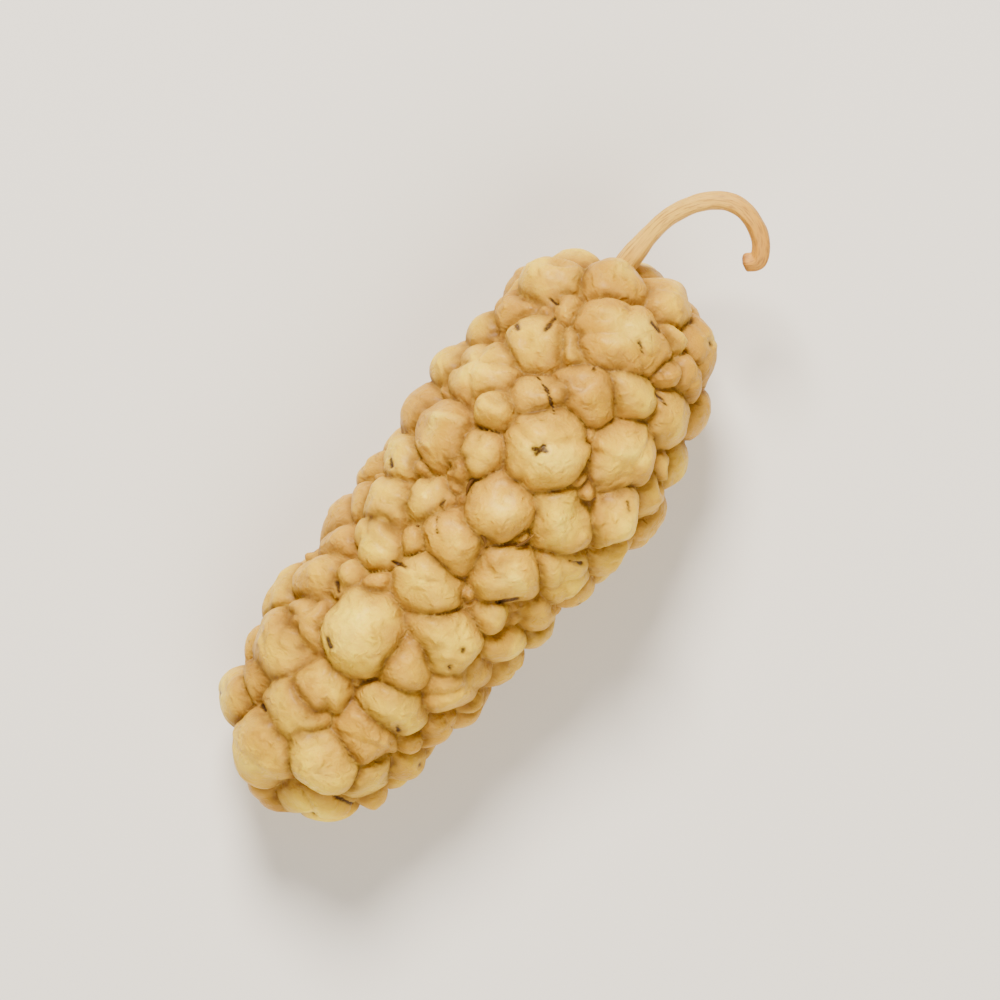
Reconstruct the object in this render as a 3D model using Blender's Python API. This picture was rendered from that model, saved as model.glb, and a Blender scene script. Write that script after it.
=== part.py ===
"""One dried white mulberry with its stalk, lying on its side.

The fruit is a head of small drupelets that grew round one core and dried into one piece. Its
stalk stands in a socket at the stem end. +Z is up and the surface it lies on is Z = 0.
+Y runs along the fruit from its tip to its stem end. Blender units are metres.
"""

import math
import random

import bmesh
import bpy
import numpy as np
from mathutils import Matrix, Vector

MM = 0.001

# Along the fruit, from tip to stem end: where its core line passes, and the radius of the seat,
# the round surface that the drupelets are centred on. Millimetres.
STATION_Y = [-10.8, -7.5, -3.0, 2.3, 5.9]
STATION_X = [0.25, 0.10, 0.05, 0.10, -0.35]
STATION_RADIUS = [2.70, 3.30, 3.45, 4.05, 3.50]
FLATTENING = 0.93
REST_CUT = 0.12

# The drupelets: how many, their usual half width and depth, how far each strays from them, and
# the share of that depth that a very narrow one has. Millimetres.
DRUPELET_COUNT = 126
DRUPELET_REACH = 1.38
DRUPELET_DEPTH = 1.38
REACH_SPREAD = 0.17
REACH_LIMITS = (0.70, 1.25)
STRETCH_SPREAD = 0.10
DEPTH_SPREAD = 0.09
SMALL_DEPTH = 0.7
LIFT_SPREAD = 0.16
GOLDEN_ANGLE = math.pi * (3 - math.sqrt(5))
START_JITTER = 0.35
SEED = 7

# The largest and plainest drupelets of the upper side, seen from above: x, y and width. The
# others take their places round these. Millimetres.
LANDMARKS = [
    (0.10, 10.0, 2.4),
    (2.35, 9.5, 2.6),
    (2.80, 8.0, 1.9),
    (-3.90, 7.5, 2.3),
    (-0.25, 7.6, 3.1),
    (3.20, 6.3, 2.7),
    (-1.65, 6.0, 1.6),
    (1.35, 6.0, 2.2),
    (-4.25, 5.8, 1.8),
    (-0.05, 4.8, 2.5),
    (2.85, 3.7, 2.7),
    (-1.30, 3.6, 2.1),
    (4.55, 3.4, 1.8),
    (-3.85, 3.1, 2.9),
    (0.05, 2.4, 2.8),
    (4.95, 1.0, 2.4),
    (2.55, 0.8, 2.5),
    (-1.75, 0.8, 1.4),
    (0.15, -0.2, 2.1),
    (-2.25, -1.8, 2.1),
    (2.25, -2.0, 2.3),
    (4.05, -2.2, 1.7),
    (-0.35, -2.4, 2.0),
    (-4.05, -3.4, 1.7),
    (-2.65, -4.2, 1.7),
    (-0.05, -4.3, 1.9),
    (3.95, -4.3, 1.9),
    (-3.85, -5.4, 1.7),
    (2.05, -5.4, 2.8),
    (4.35, -6.6, 1.6),
    (-0.85, -7.2, 3.0),
    (-2.85, -8.2, 2.3),
    (2.35, -8.4, 2.6),
    (-0.45, -9.7, 2.2),
    (4.15, -10.0, 2.1),
    (-2.85, -10.9, 2.1),
    (-1.05, -11.2, 2.8),
    (3.10, -11.5, 2.3),
    (1.50, -12.2, 2.6),
    (-0.85, -13.4, 2.9),
]
WIDTH_SEEN = 1.70
LANDMARK_RISE = 0.9

# How the drupelets settle against each other and then swell. PACKING is how far apart two touching
# ones are, as a share of their half widths together.
SETTLING_ROUNDS = 140
SETTLING_SHARE = 0.2
PACKING = 0.81
SWELLING_ROUNDS = 12
SWELLING_SHARE = 0.35
SWELLING_NEIGHBOURS = 6
SWELLING_LIMIT = 1.35

# Late small drupelets that came up in the widest gaps, and how far they reach into their neighbours
LATE_COUNT = 14
LATE_TRIES = 2500
LATE_OVERLAP = 0.7
LATE_LIMITS = (0.7, 1.3)

# The core that the drupelets stand out of. It rises above the seat, to the foot of each crease.
CORE_RISE = 0.62
CORE_SEGMENTS = 16
CORE_RINGS = 14

# The stalk: the way it leaves the fruit, and its route from there to its broken end. Millimetres.
STALK_SEAT = (-0.46, 0.86, 0.16)
STALK_AXIS = Vector((-0.06, 0.97, 0.22)).normalized()
STALK_RADIUS = 0.38
STALK_ROOM = 0.8
STALK_ROOT_DEPTH = 1.9
STALK_STRAIGHT = 1.6
STALK_ROUTE = [
    (-1.95, 12.2, 5.75),
    (-1.35, 13.45, 6.00),
    (-0.50, 14.15, 6.10),
    (0.45, 14.20, 6.05),
    (1.30, 13.80, 5.85),
    (1.70, 13.20, 5.60),
    (1.35, 12.75, 5.45),
]
STALK_STEPS_A_SPAN = 3
SOCKET_CLEARANCE = 0.3
SOCKET_SIDES = 12
SOCKET_MOUTH = 3.0

# A drupelet's solid has few sides, and is a little larger so that its flats match a round one
DRUPELET_SUBDIVISIONS = 2
FACETING_ALLOWANCE = 1.03

FRUIT_COLOUR = (0.66, 0.46, 0.19, 1.0)
FRUIT_ROUGHNESS = 0.5
STALK_COLOUR = (0.70, 0.46, 0.22, 1.0)
STALK_ROUGHNESS = 0.65


def clear_scene():
    for obj in list(bpy.data.objects):
        bpy.data.objects.remove(obj)


def new_collection(name):
    collection = bpy.data.collections.new(name)
    bpy.context.scene.collection.children.link(collection)
    return collection


def material(name, colour, roughness):
    made = bpy.data.materials.new(name)
    made.use_nodes = True
    shader = made.node_tree.nodes["Principled BSDF"]
    shader.inputs["Base Color"].default_value = colour
    shader.inputs["Roughness"].default_value = roughness
    shader.inputs["Metallic"].default_value = 0.0
    return made


def core_feet(points):
    """The nearest places to these points on the core's line, which lies flat here, and their seat radii."""
    foot_y = np.clip(points[:, 1], STATION_Y[0], STATION_Y[-1])
    foot_x = np.interp(foot_y, STATION_Y, STATION_X)
    return np.stack([foot_x, foot_y, 0 * foot_y], axis=1), np.interp(foot_y, STATION_Y, STATION_RADIUS)


def outwards(points):
    feet, _ = core_feet(points)
    away = points - feet
    return away / np.linalg.norm(away, axis=1)[:, None]


def on_seat(points, rise=0.0):
    feet, radii = core_feet(points)
    return feet + outwards(points) * (radii + rise)[:, None]


def placed(point):
    """A point of that round shape, flattened a little and raised to where the fruit lies, in metres."""
    _, radii = core_feet(np.array([point]))
    height = (radii[0] + DRUPELET_DEPTH) * FLATTENING - REST_CUT
    return Vector((point[0], point[1], point[2] * FLATTENING + height)) * MM


def spiral_places(count):
    """Even places in a golden-angle spiral from tip to stem end, as the flowers grew."""
    low = STATION_Y[0] - STATION_RADIUS[0]
    high = STATION_Y[-1] + STATION_RADIUS[-1]
    places = []
    for index in range(count):
        y = low + (high - low) * (index + 0.5) / count
        feet, radii = core_feet(np.array([[0.0, y, 0.0]]))
        girth = math.sqrt(max(radii[0] ** 2 - (y - feet[0][1]) ** 2, 0.0))
        turn = index * GOLDEN_ANGLE
        places.append([feet[0][0] + girth * math.cos(turn), y, girth * math.sin(turn)])
    return on_seat(np.array(places))


def landmark_place(x, y):
    """The place on the upper half of the seat that is seen at x, y from above."""
    feet, radii = core_feet(np.array([[x, y, 0.0]]))
    across = np.array([x - feet[0][0], y - feet[0][1]]) / (radii[0] + LANDMARK_RISE)
    up = math.sqrt(max(1 - across @ across, 0.05))
    return on_seat(feet + np.array([[across[0], across[1], up]]))[0]


def settle(places, reaches, pinned):
    """Crowded drupelets push each other over the seat, and the pinned ones stay."""
    others = 1 - np.eye(len(places))
    wanted = (reaches[:, None] + reaches[None, :]) * PACKING
    for _ in range(SETTLING_ROUNDS):
        between = places[:, None] - places[None, :]
        distance = np.linalg.norm(between, axis=2) + np.eye(len(places))
        push = np.clip(wanted - distance, 0, None) * others
        moves = SETTLING_SHARE * (between * (push / distance)[:, :, None]).sum(axis=1)
        moves[pinned] = 0
        places = on_seat(places + moves)
    return places


def swell(places, reaches):
    """Each drupelet grows a little into the gaps beside it."""
    largest = reaches * SWELLING_LIMIT
    distance = np.linalg.norm(places[:, None] - places[None, :], axis=2)
    np.fill_diagonal(distance, np.inf)
    for _ in range(SWELLING_ROUNDS):
        free = np.sort(distance - (reaches[:, None] + reaches[None, :]) * PACKING, axis=1)
        growth = SWELLING_SHARE * np.clip(free[:, :SWELLING_NEIGHBOURS].mean(axis=1), 0, None)
        reaches = np.minimum(reaches + growth, largest)
    return reaches


def add_late_ones(places, reaches):
    """Late small drupelets, one by one in the widest gap that is left."""
    tries = spiral_places(LATE_TRIES)
    room = (np.linalg.norm(tries[:, None] - places[None], axis=2) - reaches[None]).min(axis=1)
    for _ in range(LATE_COUNT):
        widest = int(room.argmax())
        reach = float(np.clip(room[widest] + LATE_OVERLAP, *LATE_LIMITS))
        places = np.vstack([places, tries[widest]])
        reaches = np.append(reaches, reach)
        room = np.minimum(room, np.linalg.norm(tries - tries[widest], axis=1) - reach)
    return places, reaches


def drupelet_places(rng):
    """Where each drupelet is centred on the seat, and its half width."""
    places = spiral_places(DRUPELET_COUNT)
    strays = [rng.uniform(-START_JITTER, START_JITTER) for _ in places.ravel()]
    places = on_seat(places + np.reshape(strays, places.shape))
    shares = [rng.gauss(1.0, REACH_SPREAD) for _ in places]
    reaches = DRUPELET_REACH * np.clip(shares, *REACH_LIMITS)
    pinned = []
    for x, y, width in LANDMARKS:
        place = landmark_place(x, y)
        distance = np.linalg.norm(places - place, axis=1)
        distance[pinned] = np.inf
        nearest = int(distance.argmin())
        places[nearest] = place
        reaches[nearest] = width / WIDTH_SEEN
        pinned.append(nearest)
    stem = np.array([[STATION_X[-1], STATION_Y[-1], 0.0]])
    places = np.vstack([places, on_seat(stem + np.array([STALK_SEAT]))])
    reaches = np.append(reaches, STALK_ROOM)
    pinned.append(len(places) - 1)
    places = settle(places, reaches, pinned)
    reaches = swell(places, reaches)
    reaches[-1] = STALK_ROOM
    places, reaches = add_late_ones(places, reaches)
    stalk = pinned[-1]
    return np.delete(places, stalk, axis=0), np.delete(reaches, stalk)


def drupelets():
    """Each drupelet's matrix: its centre, its outward axis and its three half sizes."""
    rng = random.Random(SEED)
    places, reaches = drupelet_places(rng)
    found = []
    for place, out, reach in zip(places, outwards(places), reaches):
        stretch = 1 + rng.uniform(-STRETCH_SPREAD, STRETCH_SPREAD)
        depth = DRUPELET_DEPTH * (1 + rng.uniform(-DEPTH_SPREAD, DEPTH_SPREAD))
        depth *= SMALL_DEPTH + (1 - SMALL_DEPTH) * min(reach / DRUPELET_REACH, 1)
        lift = rng.uniform(-LIFT_SPREAD, LIFT_SPREAD)
        turn = rng.uniform(0, math.tau)
        facing = Vector((out[0], out[1], out[2] / FLATTENING)).to_track_quat("Z", "Y")
        sizes = Matrix.Diagonal((reach * stretch * MM, reach / stretch * MM, depth * MM, 1))
        found.append(
            Matrix.Translation(placed(place + out * lift))
            @ facing.to_matrix().to_4x4()
            @ Matrix.Rotation(turn, 4, "Z")
            @ sizes
        )
    return found


def mesh_object(name, bm, collection):
    mesh = bpy.data.meshes.new(name)
    bm.to_mesh(mesh)
    bm.free()
    obj = bpy.data.objects.new(name, mesh)
    collection.objects.link(obj)
    return obj


def build_core(collection):
    """The round-ended body that fills the head under its drupelets."""
    bm = bmesh.new()
    bmesh.ops.create_uvsphere(bm, u_segments=CORE_SEGMENTS, v_segments=CORE_RINGS, radius=1.0)
    low = STATION_Y[0] - STATION_RADIUS[0]
    high = STATION_Y[-1] + STATION_RADIUS[-1]
    for vert in bm.verts:
        across, up, along = vert.co
        point = [across, (low + high) / 2 + along * (high - low) / 2, -up]
        feet, radii = core_feet(np.array([point]))
        point[0] = feet[0][0] + across * radii[0]
        point[2] *= radii[0]
        vert.co = placed(on_seat(np.array([point]), CORE_RISE)[0])
    return mesh_object("fruit", bm, collection)


def build_drupelets(collection):
    for index, matrix in enumerate(drupelets()):
        bm = bmesh.new()
        bmesh.ops.create_icosphere(
            bm, subdivisions=DRUPELET_SUBDIVISIONS, radius=FACETING_ALLOWANCE, matrix=matrix
        )
        mesh_object(f"drupelet_{index}", bm, collection)


def stalk_mouth():
    """Where the stalk comes through the seat, in metres."""
    stem = np.array([[STATION_X[-1], STATION_Y[-1], 0.0]])
    return placed(on_seat(stem + np.array([STALK_SEAT]))[0])


def build_socket_cutter(collection):
    """The hole that the stalk's root stands in, with its clearance all round."""
    radius = (STALK_RADIUS + SOCKET_CLEARANCE) * MM
    depth = (STALK_ROOT_DEPTH + SOCKET_CLEARANCE) * MM
    mouth = SOCKET_MOUTH * MM
    centre = stalk_mouth() + STALK_AXIS * (mouth - depth) / 2
    bm = bmesh.new()
    bmesh.ops.create_cone(
        bm,
        cap_ends=True,
        segments=SOCKET_SIDES,
        radius1=radius,
        radius2=radius,
        depth=mouth + depth,
        matrix=Matrix.Translation(centre) @ STALK_AXIS.to_track_quat("Z", "Y").to_matrix().to_4x4(),
    )
    return mesh_object("socket_cutter", bm, collection)


def build_rest_cutter(collection):
    """What lies under Z = 0, so that the lowest drupelets rest on small flat spots."""
    side = 60 * MM
    bm = bmesh.new()
    bmesh.ops.create_cube(bm, size=side, matrix=Matrix.Translation((0, 0, -side / 2)))
    return mesh_object("rest_cutter", bm, collection)


def apply_boolean(obj, operation, operand=None, collection=None):
    modifier = obj.modifiers.new(operation.lower(), "BOOLEAN")
    modifier.operation = operation
    modifier.solver = "MANIFOLD"
    if collection:
        modifier.operand_type = "COLLECTION"
        modifier.collection = collection
    else:
        modifier.object = operand
    bpy.context.view_layer.objects.active = obj
    bpy.ops.object.modifier_apply(modifier=modifier.name)


def build_fruit(parts, swelling, cutters):
    fruit = build_core(parts)
    build_drupelets(swelling)
    apply_boolean(fruit, "UNION", collection=swelling)
    for obj in list(swelling.objects):
        bpy.data.objects.remove(obj)
    for cutter in (build_socket_cutter(cutters), build_rest_cutter(cutters)):
        cutter.hide_render = True
        cutter.display_type = "WIRE"
        apply_boolean(fruit, "DIFFERENCE", operand=cutter)
    fruit.data.shade_smooth()
    fruit.data.set_sharp_from_angle(angle=math.radians(40))
    fruit.data.materials.append(material("dried_flesh", FRUIT_COLOUR, FRUIT_ROUGHNESS))


def smooth_line(points):
    """Points of a Catmull-Rom curve through the given ones."""
    ends = [2 * points[0] - points[1], *points, 2 * points[-1] - points[-2]]
    line = []
    for before, start, end, after in zip(ends, ends[1:], ends[2:], ends[3:]):
        for step in range(STALK_STEPS_A_SPAN):
            t = step / STALK_STEPS_A_SPAN
            linear = (end - before) * t
            square = (2 * before - 5 * start + 4 * end - after) * t**2
            cube = (3 * start - before - 3 * end + after) * t**3
            line.append((2 * start + linear + square + cube) / 2)
    return [*line, points[-1]]


def build_stalk(parts):
    """A tube from the root in its socket, round the curl, to the broken end."""
    mouth = stalk_mouth()
    root = mouth - STALK_AXIS * STALK_ROOT_DEPTH * MM
    clear = mouth + STALK_AXIS * STALK_STRAIGHT * MM
    line = smooth_line([root, mouth, clear, *(Vector(point) * MM for point in STALK_ROUTE)])
    curve = bpy.data.curves.new("stalk", "CURVE")
    curve.dimensions = "3D"
    curve.bevel_depth = STALK_RADIUS * MM
    curve.bevel_resolution = 2
    curve.use_fill_caps = True
    spline = curve.splines.new("POLY")
    spline.points.add(len(line) - 1)
    for point, place in zip(spline.points, line):
        point.co = (*place, 1)
    stalk = bpy.data.objects.new("stalk", curve)
    stalk.data.materials.append(material("dried_stalk", STALK_COLOUR, STALK_ROUGHNESS))
    parts.objects.link(stalk)


clear_scene()
parts = new_collection("dried_mulberry")
build_fruit(parts, new_collection("drupelets"), new_collection("cutters"))
build_stalk(parts)
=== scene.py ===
"""A sun-dried white mulberry with its stalk, lying on a pale table.

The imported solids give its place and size. The camera, the lamps and the table are in metres, and
the fruit and its stalk are in millimetres until their meshes are finished.
"""

import math
import random

import bmesh
import bpy
import numpy as np
from mathutils import Matrix, Vector, noise


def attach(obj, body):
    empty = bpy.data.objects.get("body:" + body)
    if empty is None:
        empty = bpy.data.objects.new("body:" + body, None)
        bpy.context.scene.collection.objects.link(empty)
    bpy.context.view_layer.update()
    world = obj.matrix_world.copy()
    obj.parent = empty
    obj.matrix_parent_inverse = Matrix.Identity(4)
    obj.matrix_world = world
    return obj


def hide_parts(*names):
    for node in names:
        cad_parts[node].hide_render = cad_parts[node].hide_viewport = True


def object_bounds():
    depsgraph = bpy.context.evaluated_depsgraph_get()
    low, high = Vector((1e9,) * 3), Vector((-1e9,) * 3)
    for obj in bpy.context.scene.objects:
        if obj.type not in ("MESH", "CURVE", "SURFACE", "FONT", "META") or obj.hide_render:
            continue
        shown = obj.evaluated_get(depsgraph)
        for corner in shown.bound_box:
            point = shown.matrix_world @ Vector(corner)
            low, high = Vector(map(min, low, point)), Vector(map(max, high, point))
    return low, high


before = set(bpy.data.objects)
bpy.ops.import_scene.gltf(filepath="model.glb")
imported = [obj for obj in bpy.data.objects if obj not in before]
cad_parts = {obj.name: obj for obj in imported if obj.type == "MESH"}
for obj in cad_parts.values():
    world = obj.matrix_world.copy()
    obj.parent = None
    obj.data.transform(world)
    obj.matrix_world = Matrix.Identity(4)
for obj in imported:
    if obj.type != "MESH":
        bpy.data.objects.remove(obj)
cad_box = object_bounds()

# The camera
# It looks straight down on the fruit, turned so that the stem end points up and to the right.

VIEW_ACROSS = 0.0385
CAMERA_HEIGHT = 0.45
CAMERA_SENSOR = 36.0
FRUIT_TURN_IN_VIEW = math.radians(40)

lowest, highest = (Vector(corner) for corner in cad_box)
middle = (lowest + highest) / 2
camera = bpy.data.objects.new("camera", bpy.data.cameras.new("camera"))
camera.data.sensor_width = CAMERA_SENSOR
camera.data.lens = CAMERA_SENSOR * CAMERA_HEIGHT / VIEW_ACROSS
camera.data.clip_start = 0.01
camera.location = (middle.x, middle.y, CAMERA_HEIGHT)
camera.rotation_euler = (0, 0, FRUIT_TURN_IN_VIEW)
bpy.context.scene.collection.objects.link(camera)
bpy.context.scene.camera = camera

# The table and the light
# A plain pale matt table, a soft warm lamp beyond the stem end and a wider, weaker one opposite.
# A dim even surround fills the shade.

TABLE_COLOUR = "#E5E1DA"
TABLE_SIZE = 4.0
TABLE_DROP = 0.00002
LAMP_WARMTH = (1.0, 0.93, 0.83)
SURROUND_COLOUR = (1.0, 0.95, 0.86, 1.0)
SURROUND_STRENGTH = 0.30

# Each lamp's name, place, width and power
LAMPS = [
    ("key_lamp", (-0.19, 0.17, 0.29), 0.14, 3.8),
    ("fill_lamp", (0.18, -0.14, 0.26), 0.30, 1.4),
]


def linear(hex_colour):
    """An sRGB hex colour as the linear values that a shader takes."""
    channels = [int(hex_colour[start:start + 2], 16) / 255 for start in (1, 3, 5)]
    return (*(c / 12.92 if c <= 0.04045 else ((c + 0.055) / 1.055) ** 2.4 for c in channels), 1.0)


def add_node(tree, kind, inputs, **settings):
    """Adds a node with its settings. An input given a socket is linked to it, and any other is set."""
    node = tree.nodes.new(kind)
    for name, value in settings.items():
        setattr(node, name, value)
    for name, value in inputs.items():
        if isinstance(value, bpy.types.NodeSocket):
            tree.links.new(value, node.inputs[name])
        else:
            node.inputs[name].default_value = value
    return node


def new_material(name):
    """An empty Principled material: the material, its node tree and its shader."""
    made = bpy.data.materials.new(name)
    made.use_nodes = True
    return made, made.node_tree, made.node_tree.nodes["Principled BSDF"]


# Matt lacquered board: even and dull, so that only the fruit draws the eye
table_paint, tree, shader = new_material("matt_table")
shader.inputs["Base Color"].default_value = linear(TABLE_COLOUR)
shader.inputs["Roughness"].default_value = 0.85
bm = bmesh.new()
bmesh.ops.create_grid(
    bm, x_segments=1, y_segments=1, size=TABLE_SIZE / 2, matrix=Matrix.Translation((0, 0, -TABLE_DROP))
)
table_mesh = bpy.data.meshes.new("table")
bm.to_mesh(table_mesh)
bm.free()
table_mesh.materials.append(table_paint)
table = bpy.data.objects.new("table", table_mesh)
bpy.context.scene.collection.objects.link(table)

for name, place, size, energy in LAMPS:
    lamp = bpy.data.lights.new(name, "AREA")
    lamp.shape = "DISK"
    lamp.size = size
    lamp.energy = energy
    lamp.color = LAMP_WARMTH
    stand = bpy.data.objects.new(name, lamp)
    stand.location = place
    stand.rotation_euler = Vector(place).to_track_quat("Z", "Y").to_euler()
    bpy.context.scene.collection.objects.link(stand)

surround = bpy.data.worlds.new("surround")
surround.use_nodes = True
sky = surround.node_tree.nodes["Background"]
sky.inputs["Color"].default_value = SURROUND_COLOUR
sky.inputs["Strength"].default_value = SURROUND_STRENGTH
bpy.context.scene.world = surround

# The fruit's drupelets
# One head of well over a hundred tiny fleshy fruits round a core, as the solids have it: a
# golden-angle spiral that settles round the forty plainest ones.

# Stations of the core's line along the fruit, and the seat's radius at each
STATION_Y = [-10.8, -7.5, -3.0, 2.3, 5.9]
STATION_X = [0.25, 0.10, 0.05, 0.10, -0.35]
STATION_RADIUS = [2.70, 3.30, 3.45, 4.05, 3.50]
FLATTENING = 0.93
REST_CUT = 0.12
DRUPELET_COUNT = 126
DRUPELET_REACH = 1.38
DRUPELET_DEPTH = 1.38
REACH_SPREAD = 0.17
REACH_LIMITS = (0.70, 1.25)
STRETCH_SPREAD = 0.10
DEPTH_SPREAD = 0.09
SMALL_DEPTH = 0.7
LIFT_SPREAD = 0.16
GOLDEN_ANGLE = math.pi * (3 - math.sqrt(5))
START_JITTER = 0.35
SEED = 7

# The plainest drupelets of the upper side: x, y and the width that is seen
LANDMARKS = [
    (0.10, 10.0, 2.4),
    (2.35, 9.5, 2.6),
    (2.80, 8.0, 1.9),
    (-3.90, 7.5, 2.3),
    (-0.25, 7.6, 3.1),
    (3.20, 6.3, 2.7),
    (-1.65, 6.0, 1.6),
    (1.35, 6.0, 2.2),
    (-4.25, 5.8, 1.8),
    (-0.05, 4.8, 2.5),
    (2.85, 3.7, 2.7),
    (-1.30, 3.6, 2.1),
    (4.55, 3.4, 1.8),
    (-3.85, 3.1, 2.9),
    (0.05, 2.4, 2.8),
    (4.95, 1.0, 2.4),
    (2.55, 0.8, 2.5),
    (-1.75, 0.8, 1.4),
    (0.15, -0.2, 2.1),
    (-2.25, -1.8, 2.1),
    (2.25, -2.0, 2.3),
    (4.05, -2.2, 1.7),
    (-0.35, -2.4, 2.0),
    (-4.05, -3.4, 1.7),
    (-2.65, -4.2, 1.7),
    (-0.05, -4.3, 1.9),
    (3.95, -4.3, 1.9),
    (-3.85, -5.4, 1.7),
    (2.05, -5.4, 2.8),
    (4.35, -6.6, 1.6),
    (-0.85, -7.2, 3.0),
    (-2.85, -8.2, 2.3),
    (2.35, -8.4, 2.6),
    (-0.45, -9.7, 2.2),
    (4.15, -10.0, 2.1),
    (-2.85, -10.9, 2.1),
    (-1.05, -11.2, 2.8),
    (3.10, -11.5, 2.3),
    (1.50, -12.2, 2.6),
    (-0.85, -13.4, 2.9),
]
WIDTH_SEEN = 1.70
LANDMARK_RISE = 0.9
LANDMARK_LEAST_UP = 0.05
SETTLING_ROUNDS = 140
SETTLING_SHARE = 0.2
PACKING = 0.81
SWELLING_ROUNDS = 12
SWELLING_SHARE = 0.35
SWELLING_NEIGHBOURS = 6
SWELLING_LIMIT = 1.35
LATE_TRIES = 2500

# How many late ones, how far they lap over their neighbours, and their least and largest half width
LATE_ONES = (14, 0.7, 0.7, 1.3)
SMALLEST_ONES = (36, 0.62, 0.55, 1.0)
SMALLEST_SINK = 0.32
CORE_RISE = 0.62
STALK_SEAT = (-0.46, 0.86, 0.16)
STALK_ROOM = 0.8


def core_feet(points):
    """The nearest places to these points on the core's line, which lies flat here, and their seat radii."""
    foot_y = np.clip(points[:, 1], STATION_Y[0], STATION_Y[-1])
    foot_x = np.interp(foot_y, STATION_Y, STATION_X)
    return np.stack([foot_x, foot_y, 0 * foot_y], axis=1), np.interp(foot_y, STATION_Y, STATION_RADIUS)


def outwards(points):
    feet, _ = core_feet(points)
    away = points - feet
    return away / np.linalg.norm(away, axis=1)[:, None]


def on_seat(points, rise=0.0):
    feet, radii = core_feet(points)
    return feet + outwards(points) * (radii + rise)[:, None]


def placed(points):
    """Points of that round shape, flattened a little and raised to where the fruit lies."""
    _, radii = core_feet(points)
    heights = (radii + DRUPELET_DEPTH) * FLATTENING - REST_CUT
    return np.stack([points[:, 0], points[:, 1], points[:, 2] * FLATTENING + heights], axis=1)


def spiral_places(count):
    """Even places in a golden-angle spiral from tip to stem end, as the flowers grew."""
    low = STATION_Y[0] - STATION_RADIUS[0]
    high = STATION_Y[-1] + STATION_RADIUS[-1]
    places = []
    for index in range(count):
        y = low + (high - low) * (index + 0.5) / count
        feet, radii = core_feet(np.array([[0.0, y, 0.0]]))
        girth = math.sqrt(max(radii[0] ** 2 - (y - feet[0][1]) ** 2, 0.0))
        turn = index * GOLDEN_ANGLE
        places.append([feet[0][0] + girth * math.cos(turn), y, girth * math.sin(turn)])
    return on_seat(np.array(places))


def landmark_place(x, y):
    """The place on the upper half of the seat that is seen at x, y from above."""
    feet, radii = core_feet(np.array([[x, y, 0.0]]))
    across = np.array([x - feet[0][0], y - feet[0][1]]) / (radii[0] + LANDMARK_RISE)
    up = math.sqrt(max(1 - across @ across, LANDMARK_LEAST_UP))
    return on_seat(feet + np.array([[across[0], across[1], up]]))[0]


def settle(places, reaches, pinned):
    """Crowded drupelets push each other over the seat, and the pinned ones stay."""
    others = 1 - np.eye(len(places))
    wanted = (reaches[:, None] + reaches[None, :]) * PACKING
    for _ in range(SETTLING_ROUNDS):
        between = places[:, None] - places[None, :]
        distance = np.linalg.norm(between, axis=2) + np.eye(len(places))
        push = np.clip(wanted - distance, 0, None) * others
        moves = SETTLING_SHARE * (between * (push / distance)[:, :, None]).sum(axis=1)
        moves[pinned] = 0
        places = on_seat(places + moves)
    return places


def swell(places, reaches):
    """Each drupelet grows a little into the gaps beside it."""
    largest = reaches * SWELLING_LIMIT
    distance = np.linalg.norm(places[:, None] - places[None, :], axis=2)
    np.fill_diagonal(distance, np.inf)
    for _ in range(SWELLING_ROUNDS):
        free = np.sort(distance - (reaches[:, None] + reaches[None, :]) * PACKING, axis=1)
        growth = SWELLING_SHARE * np.clip(free[:, :SWELLING_NEIGHBOURS].mean(axis=1), 0, None)
        reaches = np.minimum(reaches + growth, largest)
    return reaches


def add_late_ones(places, reaches, count, overlap, smallest, largest):
    """Late small drupelets, one by one in the widest gap that is left."""
    tries = spiral_places(LATE_TRIES)
    room = (np.linalg.norm(tries[:, None] - places[None], axis=2) - reaches[None]).min(axis=1)
    for _ in range(count):
        widest = int(room.argmax())
        reach = float(np.clip(room[widest] + overlap, smallest, largest))
        places = np.vstack([places, tries[widest]])
        reaches = np.append(reaches, reach)
        room = np.minimum(room, np.linalg.norm(tries - tries[widest], axis=1) - reach)
    return places, reaches


def drupelet_places(rng):
    """Where each drupelet is centred on the seat, and its half width."""
    places = spiral_places(DRUPELET_COUNT)
    strays = [rng.uniform(-START_JITTER, START_JITTER) for _ in places.ravel()]
    places = on_seat(places + np.reshape(strays, places.shape))
    shares = [rng.gauss(1.0, REACH_SPREAD) for _ in places]
    reaches = DRUPELET_REACH * np.clip(shares, *REACH_LIMITS)
    pinned = []
    for x, y, width in LANDMARKS:
        place = landmark_place(x, y)
        distance = np.linalg.norm(places - place, axis=1)
        distance[pinned] = np.inf
        nearest = int(distance.argmin())
        places[nearest] = place
        reaches[nearest] = width / WIDTH_SEEN
        pinned.append(nearest)
    stem = np.array([[STATION_X[-1], STATION_Y[-1], 0.0]])
    places = np.vstack([places, on_seat(stem + np.array([STALK_SEAT]))])
    reaches = np.append(reaches, STALK_ROOM)
    pinned.append(len(places) - 1)
    places = settle(places, reaches, pinned)
    reaches = swell(places, reaches)
    reaches[-1] = STALK_ROOM
    places, reaches = add_late_ones(places, reaches, *LATE_ONES)
    places, reaches = add_late_ones(places, reaches, *SMALLEST_ONES)
    stalk = pinned[-1]
    return np.delete(places, stalk, axis=0), np.delete(reaches, stalk)


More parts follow.
